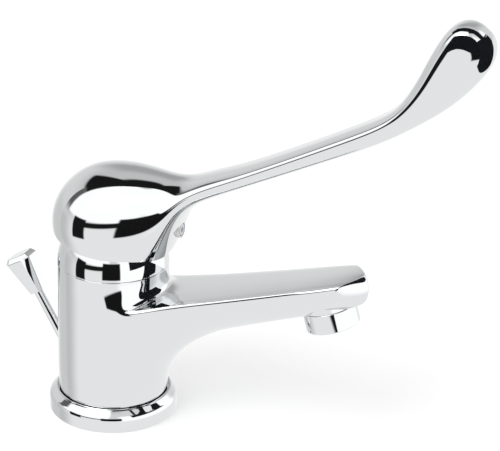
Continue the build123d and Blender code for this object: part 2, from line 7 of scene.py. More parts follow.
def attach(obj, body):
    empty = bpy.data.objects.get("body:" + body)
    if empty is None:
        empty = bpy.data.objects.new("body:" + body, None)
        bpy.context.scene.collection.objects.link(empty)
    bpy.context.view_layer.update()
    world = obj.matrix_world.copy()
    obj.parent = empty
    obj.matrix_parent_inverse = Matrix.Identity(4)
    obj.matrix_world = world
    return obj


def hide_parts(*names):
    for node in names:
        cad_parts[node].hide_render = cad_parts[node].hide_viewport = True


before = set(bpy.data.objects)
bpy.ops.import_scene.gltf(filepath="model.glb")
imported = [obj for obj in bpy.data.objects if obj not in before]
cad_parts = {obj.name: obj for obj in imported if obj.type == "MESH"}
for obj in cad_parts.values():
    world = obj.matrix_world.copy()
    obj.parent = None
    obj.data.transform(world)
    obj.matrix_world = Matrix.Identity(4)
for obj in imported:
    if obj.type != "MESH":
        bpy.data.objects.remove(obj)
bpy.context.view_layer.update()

# Camera
# A long lens looks down on the tap from its near side, a little towards the spout's end,
# as worked out from the ellipses of the base ring, the body and the cover.
camera_turn = radians(20)
camera_pitch = radians(23.68)
camera_roll = radians(1.581)
camera_distance = 0.8497
aim_across = 0.05811
aim_height = 0.08698
lens = 144
sensor = 36
nearest = 0.01
farthest = 20

look_back = Vector((
    sin(camera_turn) * cos(camera_pitch),
    -cos(camera_turn) * cos(camera_pitch),
    sin(camera_pitch),
))
level_right = Vector((cos(camera_turn), sin(camera_turn), 0))
level_up = look_back.cross(level_right)
camera_right = cos(camera_roll) * level_right + sin(camera_roll) * level_up
camera_up = cos(camera_roll) * level_up - sin(camera_roll) * level_right
camera_place = aim_across * level_right + Vector((0, 0, aim_height)) + camera_distance * look_back
camera_data = bpy.data.cameras.new("camera")
camera_data.lens = lens
camera_data.sensor_width = sensor
camera_data.clip_start = nearest
camera_data.clip_end = farthest
camera = bpy.data.objects.new("camera", camera_data)
camera.matrix_world = Matrix((
    (camera_right.x, camera_up.x, look_back.x, camera_place.x),
    (camera_right.y, camera_up.y, look_back.y, camera_place.y),
    (camera_right.z, camera_up.z, look_back.z, camera_place.z),
    (0, 0, 0, 1),
))
bpy.context.collection.objects.link(camera)
bpy.context.scene.camera = camera
bpy.context.scene.view_settings.view_transform = "Standard"

# Studio
# A white cove: a white floor that keeps the tap's shadow, a white tent above it with one
# broad soft light, and the black gaps between its cloths that draw the lines in the chrome.


def linear(code):
    """sRGB hex code as linear red, green, blue and alpha."""
    values = []
    for place in (1, 3, 5):
        value = int(code[place:place + 2], 16) / 255
        values.append(value / 12.92 if value <= 0.04045 else ((value + 0.055) / 1.055) ** 2.4)
    return (*values, 1)


def add_node(tree, kind, settings=None, inputs=None):
    """A node with its settings and with each named or numbered input linked or set."""
    node = tree.nodes.new(kind)
    for name, value in (settings or {}).items():
        setattr(node, name, value)
    for name, value in (inputs or {}).items():
        if isinstance(value, bpy.types.NodeSocket):
            tree.links.new(value, node.inputs[name])
        else:
            node.inputs[name].default_value = value
    return node


def new_tree(owner):
    """The owner's node tree, emptied."""
    owner.use_nodes = True
    owner.node_tree.nodes.clear()
    return owner.node_tree


floor_white = "#f4f4f4"
floor_size = 12.0
floor_glow = 0.22

floor_material = bpy.data.materials.new("white_studio_floor")
tree = new_tree(floor_material)
paint = add_node(tree, "ShaderNodeBsdfDiffuse", inputs={"Color": linear(floor_white)})
path = add_node(tree, "ShaderNodeLightPath")
seen = add_node(
    tree,
    "ShaderNodeMath",
    {"operation": "MAXIMUM"},
    {0: path.outputs["Is Camera Ray"], 1: path.outputs["Is Glossy Ray"]},
)
seen = add_node(
    tree,
    "ShaderNodeMath",
    {"operation": "MAXIMUM"},
    {0: seen.outputs[0], 1: path.outputs["Is Transmission Ray"]},
)
strength = add_node(
    tree, "ShaderNodeMath", {"operation": "MULTIPLY"}, {0: seen.outputs[0], 1: floor_glow}
)
glow = add_node(tree, "ShaderNodeEmission", inputs={"Strength": strength.outputs[0]})
both = add_node(tree, "ShaderNodeAddShader", inputs={0: paint.outputs[0], 1: glow.outputs[0]})
add_node(tree, "ShaderNodeOutputMaterial", inputs={"Surface": both.outputs[0]})

bm = bmesh.new()
bmesh.ops.create_grid(bm, x_segments=1, y_segments=1, size=floor_size / 2)
floor_mesh = bpy.data.meshes.new("floor")
bm.to_mesh(floor_mesh)
bm.free()
floor = bpy.data.objects.new("floor", floor_mesh)
floor_mesh.materials.append(floor_material)
bpy.context.collection.objects.link(floor)
floor.visible_glossy = False

# The tent as the chrome sees it, by turn round Z and height over the horizon in degrees:
# first and last turn, lowest and highest, softness of the edges, brightness and climb of the
# cloth per degree of turn. Later cloths lie over earlier ones, and bare_tent is the brightness
# where none hangs.
bare_tent = 1.22
tent_cloths = (
    (-220, -156, -44, 20, 16, 0.80, 0),
    (140, 220, -44, 20, 16, 0.88, 0),
    (-200, 200, 3, 100, 7, 1.0, 0),
    (60, 200, 34, 100, 14, 0.80, 0),
    (84, 126, 18, 46, 9, 0.55, 0),
    (-220, -156, 12, 48, 8, 0.16, 0),
    (-166, -74, 11, 84, 3, 1.60, 0),
    (-56, 60, -24, 48, 6, 1.60, 0),
    (60, 200, 68, 100, 3, 0.014, 0),
    (146, 200, 42, 100, 3, 0.014, 0),
    (-200, -166, 44, 100, 3, 0.014, 0),
    (-200, 200, 83, 100, 2, 0.014, 0),
    (-74, 60, 64, 100, 4, 0.014, 0),
    (-146, -68, -3, 6, 1.5, 0.014, 0.11),
    (-146, -124, -20, 12, 1.5, 0.014, 0),
    (-88, -52, -15, 19, 1.5, 0.012, 0),
)

world = bpy.data.worlds.new("white_tent")
bpy.context.scene.world = world
tree = new_tree(world)
direction = add_node(tree, "ShaderNodeTexCoord")
parts = add_node(tree, "ShaderNodeSeparateXYZ", inputs={0: direction.outputs["Generated"]})
height = add_node(tree, "ShaderNodeMath", {"operation": "ARCSINE"}, {0: parts.outputs["Z"]})
height = add_node(
    tree, "ShaderNodeMath", {"operation": "DEGREES"}, {0: height.outputs[0]}
).outputs[0]
turn = add_node(
    tree, "ShaderNodeMath", {"operation": "ARCTAN2"}, {0: parts.outputs["Y"], 1: parts.outputs["X"]}
)
turn = add_node(tree, "ShaderNodeMath", {"operation": "DEGREES"}, {0: turn.outputs[0]}).outputs[0]


def edge_mask(tree, value, start, end):
    """Zero to one as the value goes from start to end."""
    return add_node(
        tree,
        "ShaderNodeMapRange",
        {"interpolation_type": "SMOOTHSTEP"},
        {"Value": value, "From Min": start, "From Max": end, "To Min": 0.0, "To Max": 1.0},
    ).outputs["Result"]


def both_masks(tree, first, second):
    """Product of two masks."""
    return add_node(
        tree, "ShaderNodeMath", {"operation": "MULTIPLY"}, {0: first, 1: second}
    ).outputs[0]


def band_mask(tree, value, start, end, soft):
    """One between the start and the end, with soft edges."""
    return both_masks(
        tree,
        edge_mask(tree, value, start - soft, start + soft),
        edge_mask(tree, value, end + soft, end - soft),
    )


shade = bare_tent
for first, last, low, high, soft, brightness, climb in tent_cloths:
    rise = add_node(
        tree,
        "ShaderNodeMath",
        {"operation": "MULTIPLY_ADD"},
        {0: turn, 1: -climb, 2: first * climb},
    ).outputs[0]
    level = add_node(tree, "ShaderNodeMath", {"operation": "ADD"}, {0: height, 1: rise}).outputs[0]
    mask = both_masks(
        tree, band_mask(tree, turn, first, last, soft), band_mask(tree, level, low, high, soft)
    )
    shade = add_node(
        tree, "ShaderNodeMix", {"data_type": "FLOAT"}, {0: mask, 2: shade, 3: brightness}
    ).outputs[0]
path = add_node(tree, "ShaderNodeLightPath")
mirrored = add_node(
    tree,
    "ShaderNodeMix",
    {"data_type": "FLOAT"},
    {0: path.outputs["Is Glossy Ray"], 2: 1.0, 3: shade},
)
back = add_node(tree, "ShaderNodeBackground", inputs={"Strength": mirrored.outputs[0]})
add_node(tree, "ShaderNodeOutputWorld", inputs={"Surface": back.outputs[0]})

# Flags
# Black cards held close beside, over and before the lever's end, out of the picture, that
# draw the dark bands along its edge. Only mirror reflections see them.

flag_black = "#1d2023"
# each flag: its name, middle, size along its two sides, lean back and turn in degrees
flags = (
    ("flag_beside", (0.235, -0.010, 0.185), (0.30, 0.20), 90, 90),
    ("flag_above", (0.135, 0.0, 0.262), (0.21, 0.05), 0, 0),
    ("flag_before", (0.128, -0.062, 0.213), (0.13, 0.060), 90, 0),
)

flag_material = bpy.data.materials.new("black_velvet_flag")
tree = new_tree(flag_material)
velvet = add_node(tree, "ShaderNodeBsdfDiffuse", inputs={"Color": linear(flag_black)})
add_node(tree, "ShaderNodeOutputMaterial", inputs={"Surface": velvet.outputs[0]})
for name, middle, size, lean, turned_by in flags:
    bm = bmesh.new()
    bmesh.ops.create_grid(bm, x_segments=1, y_segments=1, size=0.5)
    bmesh.ops.scale(bm, vec=(size[0], size[1], 1), verts=bm.verts)
    place = (
        Matrix.Translation(middle)
        @ Matrix.Rotation(radians(turned_by), 4, "Z")
        @ Matrix.Rotation(radians(lean), 4, "X")
    )
    bmesh.ops.transform(bm, matrix=place, verts=bm.verts)
    mesh = bpy.data.meshes.new(name)
    bm.to_mesh(mesh)
    bm.free()
    mesh.materials.append(flag_material)
    flag = bpy.data.objects.new(name, mesh)
    flag.visible_camera = False
    flag.visible_diffuse = False
    flag.visible_shadow = False
    flag.visible_transmission = False
    bpy.context.collection.objects.link(flag)

# Base ring
# A turned brass ring with a sloped top that the body stands in, polished and chromed
# like the body, so it shows the floor in its edge and the body in its slope.

chrome_grey = "#e3e5e6"
peel_strength = 0.02
peel_depth = 0.00002
wipe_over_peel = 8
wipe_start = 0.3
wipe_end = 0.7
haze_least = 0.015
haze_most = 0.045


def polished_chrome(name, base, peel_mm):
    """Bright nickel chrome plate: hard mirror with a faint orange peel and wiping marks."""
    material = bpy.data.materials.new(name)
    tree = new_tree(material)
    place = add_node(tree, "ShaderNodeTexCoord")
    peel = add_node(
        tree,
        "ShaderNodeTexNoise",
        inputs={"Vector": place.outputs["Object"], "Scale": 1000 / peel_mm, "Detail": 2.0},
    )
    wipe = add_node(
        tree,
        "ShaderNodeTexNoise",
        inputs={
            "Vector": place.outputs["Object"],
            "Scale": 1000 / (wipe_over_peel * peel_mm),
            "Detail": 4.0,
        },
    )
    haze = add_node(
        tree,
        "ShaderNodeMapRange",
        inputs={
            "Value": wipe.outputs["Fac"],
            "From Min": wipe_start,
            "From Max": wipe_end,
            "To Min": haze_least,
            "To Max": haze_most,
        },
    )
    bump = add_node(
        tree,
        "ShaderNodeBump",
        inputs={"Height": peel.outputs["Fac"], "Strength": peel_strength, "Distance": peel_depth},
    )
    chrome = add_node(
        tree,
        "ShaderNodeBsdfPrincipled",
        inputs={
            "Base Color": linear(base),
            "Metallic": 1.0,
            "Roughness": haze.outputs["Result"],
            "Normal": bump.outputs["Normal"],
        },
    )
    add_node(tree, "ShaderNodeOutputMaterial", inputs={"Surface": chrome.outputs[0]})
    return material


# brass polished before plating, so the eye sees a clear mirror that only just ripples
body_chrome = polished_chrome("polished_chrome_on_brass", chrome_grey, 6.0)
millimetre = 0.001


def add_piece(name, bm, material, body, nodes, crisp=radians(35), placed=None):
    """Mesh from millimetres as a piece that rides on its body and stands for its nodes."""
    if placed:
        bmesh.ops.transform(bm, matrix=placed, verts=bm.verts)
    bmesh.ops.scale(bm, vec=(millimetre, millimetre, millimetre), verts=bm.verts)
    bmesh.ops.recalc_face_normals(bm, faces=bm.faces)
    for face in bm.faces:
        face.smooth = True
    for edge in bm.edges:
        if edge.is_manifold and edge.calc_face_angle(0) > crisp:
            edge.smooth = False
    mesh = bpy.data.meshes.new(name)
    bm.to_mesh(mesh)
    bm.free()
    mesh.materials.append(material)
    piece = bpy.data.objects.new(name, mesh)
    bpy.context.collection.objects.link(piece)
    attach(piece, body)
    if nodes:
        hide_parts(*nodes)
    return piece


corner_steps = 4
weld_distance = 0.0001


def turned(profile, rounding=None, steps=160, closed=True):
    """Turn a profile of radius and height round Z, with the named corners rounded first."""
    bm = bmesh.new()
    corners = [bm.verts.new((radius, 0, height)) for radius, height in profile]
    for first, second in zip(corners, corners[1:]):
        bm.edges.new((first, second))
    if closed:
        bm.edges.new((corners[-1], corners[0]))
    for index, radius in (rounding or {}).items():
        bmesh.ops.bevel(
            bm,
            geom=[corners[index]],
            offset=radius,
            offset_type="OFFSET",
            affect="VERTICES",
            segments=corner_steps,
            profile=0.5,
            material=-1,
        )
    bmesh.ops.spin(
        bm,
        geom=bm.verts[:] + bm.edges[:],
        cent=(0, 0, 0),
        axis=(0, 0, 1),
        angle=2 * pi,
        steps=steps,
        use_merge=True,
    )
    bmesh.ops.remove_doubles(bm, verts=bm.verts, dist=weld_distance)
    return bm


broad_face_weight = 80


def even_shading(piece):
    """Let the broad faces keep their own normals beside the small rounded edges."""
    weights = piece.modifiers.new("even_shading", "WEIGHTED_NORMAL")
    weights.keep_sharp = True
    weights.weight = broad_face_weight


ring_radius = 28.0
ring_edge_height = 6.8
ring_lip_radius = 24.25
ring_lip_height = 9.7
ring_lip_width = 0.8
ring_floor_height = 4.5
ring_bore_radius = 20.0
# corner of the profile: its radius
ring_rounding = {1: 0.5, 2: 1.3, 3: 0.6, 4: 0.15}

ring_profile = [
    (ring_bore_radius, 0),
    (ring_radius, 0),
    (ring_radius, ring_edge_height),
    (ring_lip_radius + ring_lip_width, ring_lip_height),
    (ring_lip_radius, ring_lip_height),
    (ring_lip_radius, ring_floor_height),
    (ring_bore_radius, ring_floor_height),
]
base_ring = add_piece(
    "base_ring_chrome",
    turned(ring_profile, ring_rounding),
    body_chrome,
    "tap_body",
    ["base_ring"],
)
even_shading(base_ring)

# Base gasket
# A moulded nitrile ring let into the base ring's underside, where it seals the ring to
# the deck. It keeps its own solid.

roughness_least = 0.8
roughness_most = 1.2
grain_strength = 0.3


def plain_finish(name, code, roughness, grain_mm, depth_mm, metallic=0.0, spread=0.12):
    """Moulded or machined stock: its colour, a grain of real size and a roughness that varies."""
    material = bpy.data.materials.new(name)
    tree = new_tree(material)
    place = add_node(tree, "ShaderNodeTexCoord")
    grain = add_node(
        tree,
        "ShaderNodeTexNoise",
        inputs={"Vector": place.outputs["Object"], "Scale": 1000 / grain_mm, "Detail": 3.0},
    )
    colour = linear(code)
    dark = tuple(value * (1 - spread) for value in colour[:3]) + (1,)
    tone = add_node(
        tree,
        "ShaderNodeMix",
        {"data_type": "RGBA"},
        {0: grain.outputs["Fac"], 6: dark, 7: colour},
    )
    rough = add_node(
        tree,
        "ShaderNodeMapRange",
        inputs={
            "Value": grain.outputs["Fac"],
            "To Min": roughness * roughness_least,
            "To Max": roughness * roughness_most,
        },
    )
    bump = add_node(
        tree,
        "ShaderNodeBump",
        inputs={
            "Height": grain.outputs["Fac"],
            "Strength": grain_strength,
            "Distance": depth_mm / 1000,
        },
    )
    stock = add_node(
        tree,
        "ShaderNodeBsdfPrincipled",
        inputs={
            "Base Color": tone.outputs[2],
            "Metallic": metallic,
            "Roughness": rough.outputs["Result"],
            "Normal": bump.outputs["Normal"],
        },
    )
    add_node(tree, "ShaderNodeOutputMaterial", inputs={"Surface": stock.outputs[0]})
    return material


def finish_node(node, material):
    """Give a carried over CAD node its material."""
    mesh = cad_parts[node].data
    mesh.materials.clear()
    mesh.materials.append(material)


# black nitrile from a plain mould: matt, almost without a highlight
nitrile = plain_finish("moulded_nitrile_rubber", "#1a1a1b", 0.65, 0.5, 0.02)
finish_node("base_gasket", nitrile)

# Body and spout
# One brass casting, ground, polished and chromed: a round body whose front swells into a
# keel and draws out into the spout, flat on top, round below and rounded at the nose.

columns = 32
patch_reach = 6
column_step = 2 * pi / columns
swell_reach = radians(67.5)
swell_power = 1.8
flare_middle = 1.08
flare_spread = 0.4
lip_share = 20.1 / 24.0
nose_bulge = 1.6
crease_start = 2
nose_start = 8
nose_crease = 0.15
edge_crease = 0.45
throat_loops = 3
throat_rows = (4, 8)
throat_columns = 7
throat_passes = 6
# rings of the body from its foot to the seam: height, radius, how far the keel swells in
# front, how far the ring lifts in front to leave room for the hollow over the spout, and
# how far it flares beside the spout's root
body_rings = (
    (4.5, 23.8, 0.0, 0.0, 0.0),
    (8.5, 23.85, 0.0, 0.0, 0.0),
    (13.5, 24.0, 0.15, 0.0, 0.0),
    (19.0, 24.2, 1.0, 0.0, 0.0),
    (24.5, 24.2, 3.2, 0.0, 0.0),
    (30.0, 24.2, 6.9, 0.0, 0.0),
    (36.0, 24.2, 11.6, 0.0, 0.0),
    (41.0, 24.2, 11.6, 0.0, 0.0),
    (46.0, 24.2, 8.0, 0.0, 0.2),
    (51.0, 24.2, 3.0, 0.0, 0.7),
    (55.6, 24.2, 0.0, 3.8, 1.8),
    (62.0, 24.2, 0.0, 6.0, 0.5),
    (65.8, 24.2, 0.0, 2.8, 0.1),
    (68.2, 24.2, 0.0, 0.8, 0.0),
    (69.2, 24.2, 0.0, 0.0, 0.0),
    (69.5, 24.1, 0.0, 0.0, 0.0),
)
patch_bottom = 6
patch_top = 10
# along the spout: x, height of the top, height of the underside, half the width
spout_lines = (
    (6.0, 54.5, 20.0, 23.2),
    (14.0, 56.7, 20.0, 21.5),
    (24.1, 59.4, 20.0, 19.1),
    (29.8, 60.9, 28.6, 17.9),
    (33.8, 61.9, 34.2, 17.2),
    (39.8, 63.5, 40.2, 16.6),
    (46.8, 65.4, 44.8, 16.2),
    (54.7, 67.6, 48.7, 15.7),
    (69.7, 71.9, 54.9, 14.8),
    (84.6, 76.2, 60.6, 13.8),
    (92.0, 78.5, 63.0, 13.6),
    (97.6, 80.1, 64.6, 13.2),
    (103.0, 81.6, 66.4, 12.6),
    (107.0, 82.5, 67.9, 11.5),
    (110.6, 83.1, 69.4, 9.2),
    (113.1, 83.2, 70.6, 6.8),
    (115.2, 83.2, 71.4, 3.2),
)
# each loop drawn out from the body: x of its top and underside in the middle, and how far
# its sides trail behind
spout_loops = (
    (33.5, 42.0, 17.5),
    (39.5, 49.0, 15.0),
    (45.5, 56.0, 11.5),
    (53.0, 63.0, 8.0),
    (61.0, 69.5, 4.5),
    (71.0, 77.0, 2.0),
    (81.5, 85.5, 0.5),
    (91.5, 93.5, 0.8),
    (99.5, 100.0, 2.4),
    (106.0, 106.0, 4.6),
    (110.6, 111.0, 6.6),
    (112.4, 113.2, 7.2),
)
# half the loop: share of half the width and of the height
crown_row = (
    (0.00, 1.000),
    (0.17, 0.999),
    (0.34, 0.996),
    (0.51, 0.991),
    (0.68, 0.984),
    (0.85, 0.973),
    (0.985, 0.950),
)
side_rows = ((1.02, 0.85), (1.015, 0.71), (0.99, 0.56))
keel_row = (
    (0.00, 0.000),
    (0.19, 0.000),
    (0.38, 0.012),
    (0.56, 0.05),
    (0.72, 0.13),
    (0.85, 0.25),
    (0.94, 0.40),
)


def between(table, x, column):
    """Value of a column of a table at x, straight between its rows."""
    for low, high in zip(table, table[1:]):
        if x <= high[0]:
            share = (x - low[0]) / (high[0] - low[0])
            return low[column] + share * (high[column] - low[column])
    return table[-1][column]


def loop_shares(column, row):
    """Shares of width and height of a point of the drawn out patch."""
    reach = abs(column)
    depth = patch_top - patch_bottom
    if reach == patch_reach and 0 < row < depth:
        return side_rows[depth - 1 - row]
    rise = row / depth
    across = keel_row[reach][0] * (1 - rise) + crown_row[reach][0] * rise
    upward = keel_row[reach][1] * (1 - rise) + crown_row[reach][1] * rise
    return across, upward


def spout_place(loop, column, row):
    """Place of a point of a loop of the spout."""
    top_x, keel_x, trail = loop
    across, upward = loop_shares(column, row)
    x = keel_x + (top_x - keel_x) * upward - trail * across ** 2
    low = between(spout_lines, keel_x, 2)
    high = between(spout_lines, x, 1)
    side = 1 if column > 0 else -1
    return Vector((x, side * across * between(spout_lines, x, 3), low + (high - low) * upward))


bm = bmesh.new()
column_of = bm.verts.layers.int.new("column")
row_of = bm.verts.layers.int.new("row")
loop_of = bm.verts.layers.int.new("loop")
foot = bmesh.ops.create_circle(bm, segments=columns, radius=body_rings[0][1])
ring_edges = bm.edges[:]
ring_verts = foot["verts"]
for vert in ring_verts:
    vert[column_of] = round(atan2(vert.co.y, vert.co.x) / column_step)
for row, (height, radius, swell, lift, flare) in enumerate(body_rings):
    if row:
        drawn = bmesh.ops.extrude_edge_only(bm, edges=ring_edges)["geom"]
        ring_edges = [item for item in drawn if isinstance(item, bmesh.types.BMEdge)]
        ring_verts = [item for item in drawn if isinstance(item, bmesh.types.BMVert)]
    for vert in ring_verts:
        angle = vert[column_of] * column_step
        vert[row_of] = row
        front = max(0.0, cos(angle * pi / 2 / swell_reach)) if abs(angle) < swell_reach else 0.0
        beside = exp(-(((abs(angle) - flare_middle) / flare_spread) ** 2))
        reach = radius + swell * front ** swell_power + flare * beside
        vert.co = (reach * cos(angle), reach * sin(angle), height + lift * front)
lip = bmesh.ops.extrude_edge_only(bm, edges=ring_edges)["geom"]
lip = [item for item in lip if isinstance(item, bmesh.types.BMVert)]
for vert in lip:
    vert[row_of] = len(body_rings)
bmesh.ops.scale(bm, vec=(lip_share, lip_share, 1), verts=lip)

patch = []
for face in bm.faces:
    rows = [vert[row_of] for vert in face.verts]
    spread = [abs(vert[column_of]) for vert in face.verts]
    if min(rows) >= patch_bottom and max(rows) <= patch_top and max(spread) <= patch_reach:
        patch.append(face)
for number, loop in enumerate(spout_loops, 1):
    drawn = bmesh.ops.extrude_face_region(bm, geom=patch)["geom"]
    bmesh.ops.delete(bm, geom=patch, context="FACES_KEEP_BOUNDARY")
    patch = [item for item in drawn if isinstance(item, bmesh.types.BMFace)]
    for vert in {vert for face in patch for vert in face.verts}:
        vert.co = spout_place(loop, vert[column_of], vert[row_of] - patch_bottom)
        vert[loop_of] = number
for vert in {vert for face in patch for vert in face.verts}:
    across = abs(vert[column_of]) / patch_reach
    upward = abs(vert[row_of] - (patch_bottom + patch_top) / 2) / ((patch_top - patch_bottom) / 2)
    vert.co.x += nose_bulge * (1 - across ** 2) * (1 - upward ** 2)
crease_of = bm.edges.layers.float.new("crease_edge")
for edge in bm.edges:
    brink = all(
        vert[loop_of] >= crease_start and vert[row_of] == patch_top and (
            abs(vert[column_of]) == patch_reach or vert[loop_of] == len(spout_loops)
        )
        for vert in edge.verts
    )
    if brink:
        near_nose = min(vert[loop_of] for vert in edge.verts) >= nose_start
        edge[crease_of] = nose_crease if near_nose else edge_crease
throat = [
    vert for vert in bm.verts
    if vert[loop_of] <= throat_loops
    and throat_rows[0] <= vert[row_of] <= throat_rows[1]
    and abs(vert[column_of]) <= throat_columns
]
for _ in range(throat_passes):
    bmesh.ops.smooth_vert(
        bm, verts=throat, factor=0.5, use_axis_x=True, use_axis_y=True, use_axis_z=True
    )
body_spout = add_piece(
    "body_and_spout_chrome", bm, body_chrome, "tap_body", ["body_spout"], crisp=pi
)
rounding = body_spout.modifiers.new("rounding", "SUBSURF")
rounding.levels = 3
rounding.render_levels = 3

# Underside
# The foot of the casting as turned and drilled in bare brass: the spigot that centres it in
# the ring, the well for the hoses, two hose sockets, the stud's socket and the rod's hole.

# turned brass, bright yellow with a soft shine. Its lay is drawn coarser than the tool's
# marks, which are too fine to show.
brass = plain_finish("machined_brass", "#c9a863", 0.3, 0.4, 0.01, metallic=1.0)
foot_top = 28.0
foot_core_radius = 21.5
foot_core_height = 7.5
foot_radius = 23.7
foot_edge_height = 5.5
foot_height = 4.55
spigot_radius = 19.85
spigot_foot = 0.8
well_radius = 16.5
well_roof = 12.0
# corner of the profile: its radius
foot_rounding = {6: 0.4, 7: 0.3}

foot_profile = [
    (0.0, foot_top),
    (foot_core_radius, foot_top),
    (foot_core_radius, foot_core_height),
    (foot_radius, foot_edge_height),
    (foot_radius, foot_height),
    (spigot_radius, foot_height),
    (spigot_radius, spigot_foot),
    (well_radius, spigot_foot),
    (well_radius, well_roof),
    (0.0, well_roof),
]
# each socket: its name, middle, radius and top
sockets = (
    ("hot_socket", (3.0, -9.2), 4.5, 26.0),
    ("cold_socket", (3.0, 9.2), 4.5, 26.0),
    ("stud_socket", (11.5, 0.0), 3.4, 27.0),
)
socket_start = 10.0
rod_entry = (-24.2, 0, 26.8)
rod_lean = radians(29.5)
rod_place = Matrix.Translation(rod_entry) @ Matrix.Rotation(-rod_lean, 4, "Y")
rod_hole_radius = 2.6
rod_hole_depth = 26.0
bore_segments = 64
cutters = []


def add_cutter(name, bm):
    """Closed tool for a Boolean, in metres, that settle takes out of the scene again."""
    bmesh.ops.scale(bm, vec=(millimetre, millimetre, millimetre), verts=bm.verts)
    bmesh.ops.recalc_face_normals(bm, faces=bm.faces)
    mesh = bpy.data.meshes.new(name)
    bm.to_mesh(mesh)
    bm.free()
    tool = bpy.data.objects.new(name, mesh)
    bpy.context.collection.objects.link(tool)
    cutters.append(tool)
    return tool


def cut_away(piece, tool):
    """Take the tool's volume out of the piece."""
    cut = piece.modifiers.new(tool.name, "BOOLEAN")
    cut.operation = "DIFFERENCE"
    cut.solver = "EXACT"
    cut.object = tool


def drill(radius, depth):
    """Round cutter that stands on the origin and runs up to its depth."""
    bm = bmesh.new()
    bmesh.ops.create_cone(
        bm, cap_ends=True, segments=bore_segments, radius1=radius, radius2=radius, depth=depth
    )
    bmesh.ops.translate(bm, vec=(0, 0, depth / 2), verts=bm.verts)
    return bm


def settle(piece, crisp=radians(30)):
    """Keep what the modifiers make, drop them and the cutters, and keep the corners crisp."""
    graph = bpy.context.evaluated_depsgraph_get()
    made = bpy.data.meshes.new_from_object(piece.evaluated_get(graph))
    old = piece.data
    piece.modifiers.clear()
    piece.data = made
    bpy.data.meshes.remove(old)
    for tool in cutters:
        bpy.data.objects.remove(tool)
    cutters.clear()
    bm = bmesh.new()
    bm.from_mesh(made)
    for edge in bm.edges:
        edge.smooth = not (edge.is_manifold and edge.calc_face_angle(0) > crisp)
    bm.to_mesh(made)
    bm.free()


underside = add_piece(
    "body_underside_brass",
    turned(foot_profile, foot_rounding, steps=96, closed=False),
    brass,
    "tap_body",
    [],
)
for name, (x, y), radius, top in sockets:
    bm = drill(radius, top - socket_start)
    bmesh.ops.translate(bm, vec=(x, y, socket_start), verts=bm.verts)
    cut_away(underside, add_cutter(name, bm))
bm = drill(rod_hole_radius, 2 * rod_hole_depth)
bmesh.ops.translate(bm, vec=(0, 0, -rod_hole_depth), verts=bm.verts)
bmesh.ops.transform(bm, matrix=rod_place, verts=bm.verts)
cut_away(underside, add_cutter("rod_hole", bm))
settle(underside)

# Aerator
# A chromed brass collar screwed up into the spout on its own tilted axis, round a white
# acetal jet breaker with a steel screen.

aerator_middle = (98.2, 0, 64.2)
aerator_tilt = radians(16)
aerator_place = Matrix.Translation(aerator_middle) @ Matrix.Rotation(-aerator_tilt, 4, "Y")
collar_radius = 11.5
collar_drop = 6.1
collar_bore = 9.7
collar_lip = 1.1
collar_shoulder = 2.4
thread_radius = 10.8
thread_top = 7.0
seat_bore = 10.9
seat_radius = 11.4
seat_foot = 2.5
seat_top = 5.5
# corner of the profile: its radius
collar_rounding = {0: 0.25, 1: 0.5, 2: 0.25}
seat_rounding = {1: 0.15}

collar_profile = [
    (collar_bore - collar_lip, -collar_drop),
    (collar_radius, -collar_drop),
    (collar_radius, collar_shoulder),
    (thread_radius, collar_shoulder),
    (thread_radius, thread_top),
    (collar_bore, thread_top),
    (collar_bore, collar_lip - collar_drop),
    (collar_bore - collar_lip, collar_lip - collar_drop),
]
collar = add_piece(
    "aerator_collar_chrome",
    turned(collar_profile, collar_rounding, steps=128),
    body_chrome,
    "tap_body",
    ["aerator_collar"],
    placed=aerator_place,
)
even_shading(collar)
# the cast seat in the spout that the collar screws up against
seat_profile = [
    (seat_bore, seat_foot),
    (seat_radius, seat_foot),
    (seat_radius, seat_top),
    (seat_bore, seat_top),
]
add_piece(
    "aerator_boss_chrome",
    turned(seat_profile, seat_rounding, steps=128),
    body_chrome,
    "tap_body",
    [],
    placed=aerator_place,
)
# moulded acetal: milky white with a waxy shine
acetal = plain_finish("moulded_white_acetal", "#dedcd6", 0.4, 0.8, 0.02)
# stainless steel as drawn and turned: a warm grey with a soft metal shine, its lay coarser
# than real so that it shows
steel = plain_finish("turned_stainless_steel", "#b9b8b5", 0.28, 0.3, 0.005, metallic=1.0)
finish_node("aerator_insert", acetal)
finish_node("aerator_screen", steel)
finish_node("aerator_washer", nitrile)

# Cartridge
# The ceramic disc cartridge inside the body: acetal shell, lapped alumina discs, rubber
# seals, a steel stem on its pin, and the brass nut that holds it down.

# alumina lapped flat: cream, dense and smooth, with a low shine
alumina = plain_finish("lapped_alumina", "#e3ddcf", 0.25, 0.2, 0.003)
# the same acetal coloured grey in the melt
grey_acetal = plain_finish("moulded_grey_acetal", "#77797b", 0.4, 0.8, 0.02)
cartridge_finishes = {
    "cartridge_seals": nitrile,
    "cartridge_base": acetal,
    "ceramic_disc_fixed": alumina,
    "ceramic_disc_moving": alumina,
    "disc_carrier": grey_acetal,
    "cartridge_housing": acetal,
    "stem_guide": grey_acetal,
    "guide_o_ring": nitrile,
    "pivot_pin": steel,
    "lever_stem": steel,
    "retaining_nut": brass,
    "cover_o_ring": nitrile,
}
for node, material in cartridge_finishes.items():
    finish_node(node, material)

# Cover ring
# A spun brass dome over the nut, pressed on its rubber ring, its skirt flush with the body
# and a hair line open at the seam.

cover_radius = 24.2
cover_middle = 68.4
cover_wall = 1.8
seam_height = 69.5
cover_steps = 14
cover_opening = radians(47)
skirt_bore = 20.3
skirt_rise = 9.6
# corner of the profile: its radius
cover_rounding = {0: 0.25}

